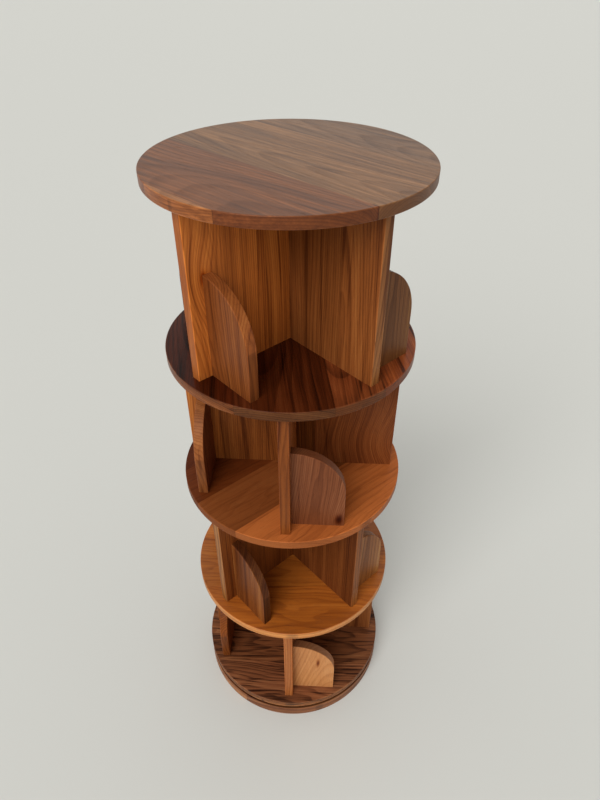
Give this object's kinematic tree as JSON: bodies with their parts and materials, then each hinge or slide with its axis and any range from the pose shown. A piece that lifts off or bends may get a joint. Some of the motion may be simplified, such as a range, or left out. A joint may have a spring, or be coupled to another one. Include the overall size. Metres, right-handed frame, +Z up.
{
  "type": "revolving bookcase",
  "caption": "Round walnut revolving bookcase: stacked tiers of crossed upright panels with round-shouldered stops between discs, turning on a ball bearing on its base.",
  "frame": {"origin": "middle of the base disc's underside, on the floor", "axes": "+Z up along the turning axis; +X and +Y along the panels of the lowest tier; the picture is taken from -Y"},
  "size_m": [0.4572, 0.4572, 1.324],
  "materials": {
    "walnut_base": "oiled walnut, satin",
    "walnut_top": "oiled walnut, satin, grey-brown with lighter streaks",
    "walnut_shelf_1": "oiled dark walnut, satin",
    "walnut_shelf_2": "oiled honey-coloured walnut, satin",
    "walnut_shelf_3": "oiled reddish walnut, satin",
    "walnut_shelf_4": "oiled dark walnut, satin",
    "walnut_panel": "oiled walnut, satin, upright grain",
    "walnut_stop_pale": "oiled pale walnut sapwood, satin",
    "walnut_stop": "oiled walnut, satin",
    "walnut_stop_pink": "oiled reddish walnut, satin",
    "bearing_steel": "zinc-plated steel",
    "ball_steel": "polished steel",
    "screw_steel": "plated steel"
  },
  "bodies": {
    "base": {"base_disc": "walnut_base", "bearing_lower_ring": "bearing_steel", "base_screw_1": "screw_steel", "base_screw_2": "screw_steel", "base_screw_3": "screw_steel", "base_screw_4": "screw_steel"},
    "cage": {"bearing_cage": "bearing_steel", "bearing_ball_1": "ball_steel", "bearing_ball_2": "ball_steel", "bearing_ball_3": "ball_steel", "bearing_ball_4": "ball_steel", "bearing_ball_5": "ball_steel", "bearing_ball_6": "ball_steel", "bearing_ball_7": "ball_steel", "bearing_ball_8": "ball_steel", "bearing_ball_9": "ball_steel", "bearing_ball_10": "ball_steel", "bearing_ball_11": "ball_steel", "bearing_ball_12": "ball_steel"},
    "tower": {"bearing_upper_ring": "bearing_steel", "ring_screw_1": "screw_steel", "ring_screw_2": "screw_steel", "ring_screw_3": "screw_steel", "ring_screw_4": "screw_steel", "shelf_1": "walnut_shelf_1", "shelf_2": "walnut_shelf_2", "shelf_3": "walnut_shelf_3", "shelf_4": "walnut_shelf_4", "top_disc": "walnut_top", "tier_1_panel_a": "walnut_panel", "tier_1_panel_b": "walnut_panel", "tier_1_stop_1": "walnut_stop", "tier_1_stop_2": "walnut_stop", "tier_1_stop_3": "walnut_stop", "tier_1_stop_4": "walnut_stop_pale", "tier_2_panel_a": "walnut_panel", "tier_2_panel_b": "walnut_panel", "tier_2_stop_1": "walnut_stop", "tier_2_stop_2": "walnut_stop", "tier_2_stop_3": "walnut_stop", "tier_2_stop_4": "walnut_stop", "tier_3_panel_a": "walnut_panel", "tier_3_panel_b": "walnut_panel", "tier_3_stop_1": "walnut_stop_pink", "tier_3_stop_2": "walnut_stop_pink", "tier_3_stop_3": "walnut_stop_pink", "tier_3_stop_4": "walnut_stop_pink", "tier_4_panel_a": "walnut_panel", "tier_4_panel_b": "walnut_panel", "tier_4_stop_1": "walnut_stop", "tier_4_stop_2": "walnut_stop", "tier_4_stop_3": "walnut_stop", "tier_4_stop_4": "walnut_stop"}
  },
  "joints": [
    {"name": "tower_spin", "type": "hinge", "parent": "base", "child": "tower", "pos_m": [0, 0, 0.0355], "axis": [0, 0, 1], "continuous": true},
    {"name": "cage_spin", "type": "hinge", "parent": "base", "child": "cage", "pos_m": [0, 0, 0.0355], "axis": [0, 0, 1], "continuous": true}
  ],
  "couplings": [
    {"joint": "cage_spin", "follows": "tower_spin", "ratio": 0.5}
  ]
}
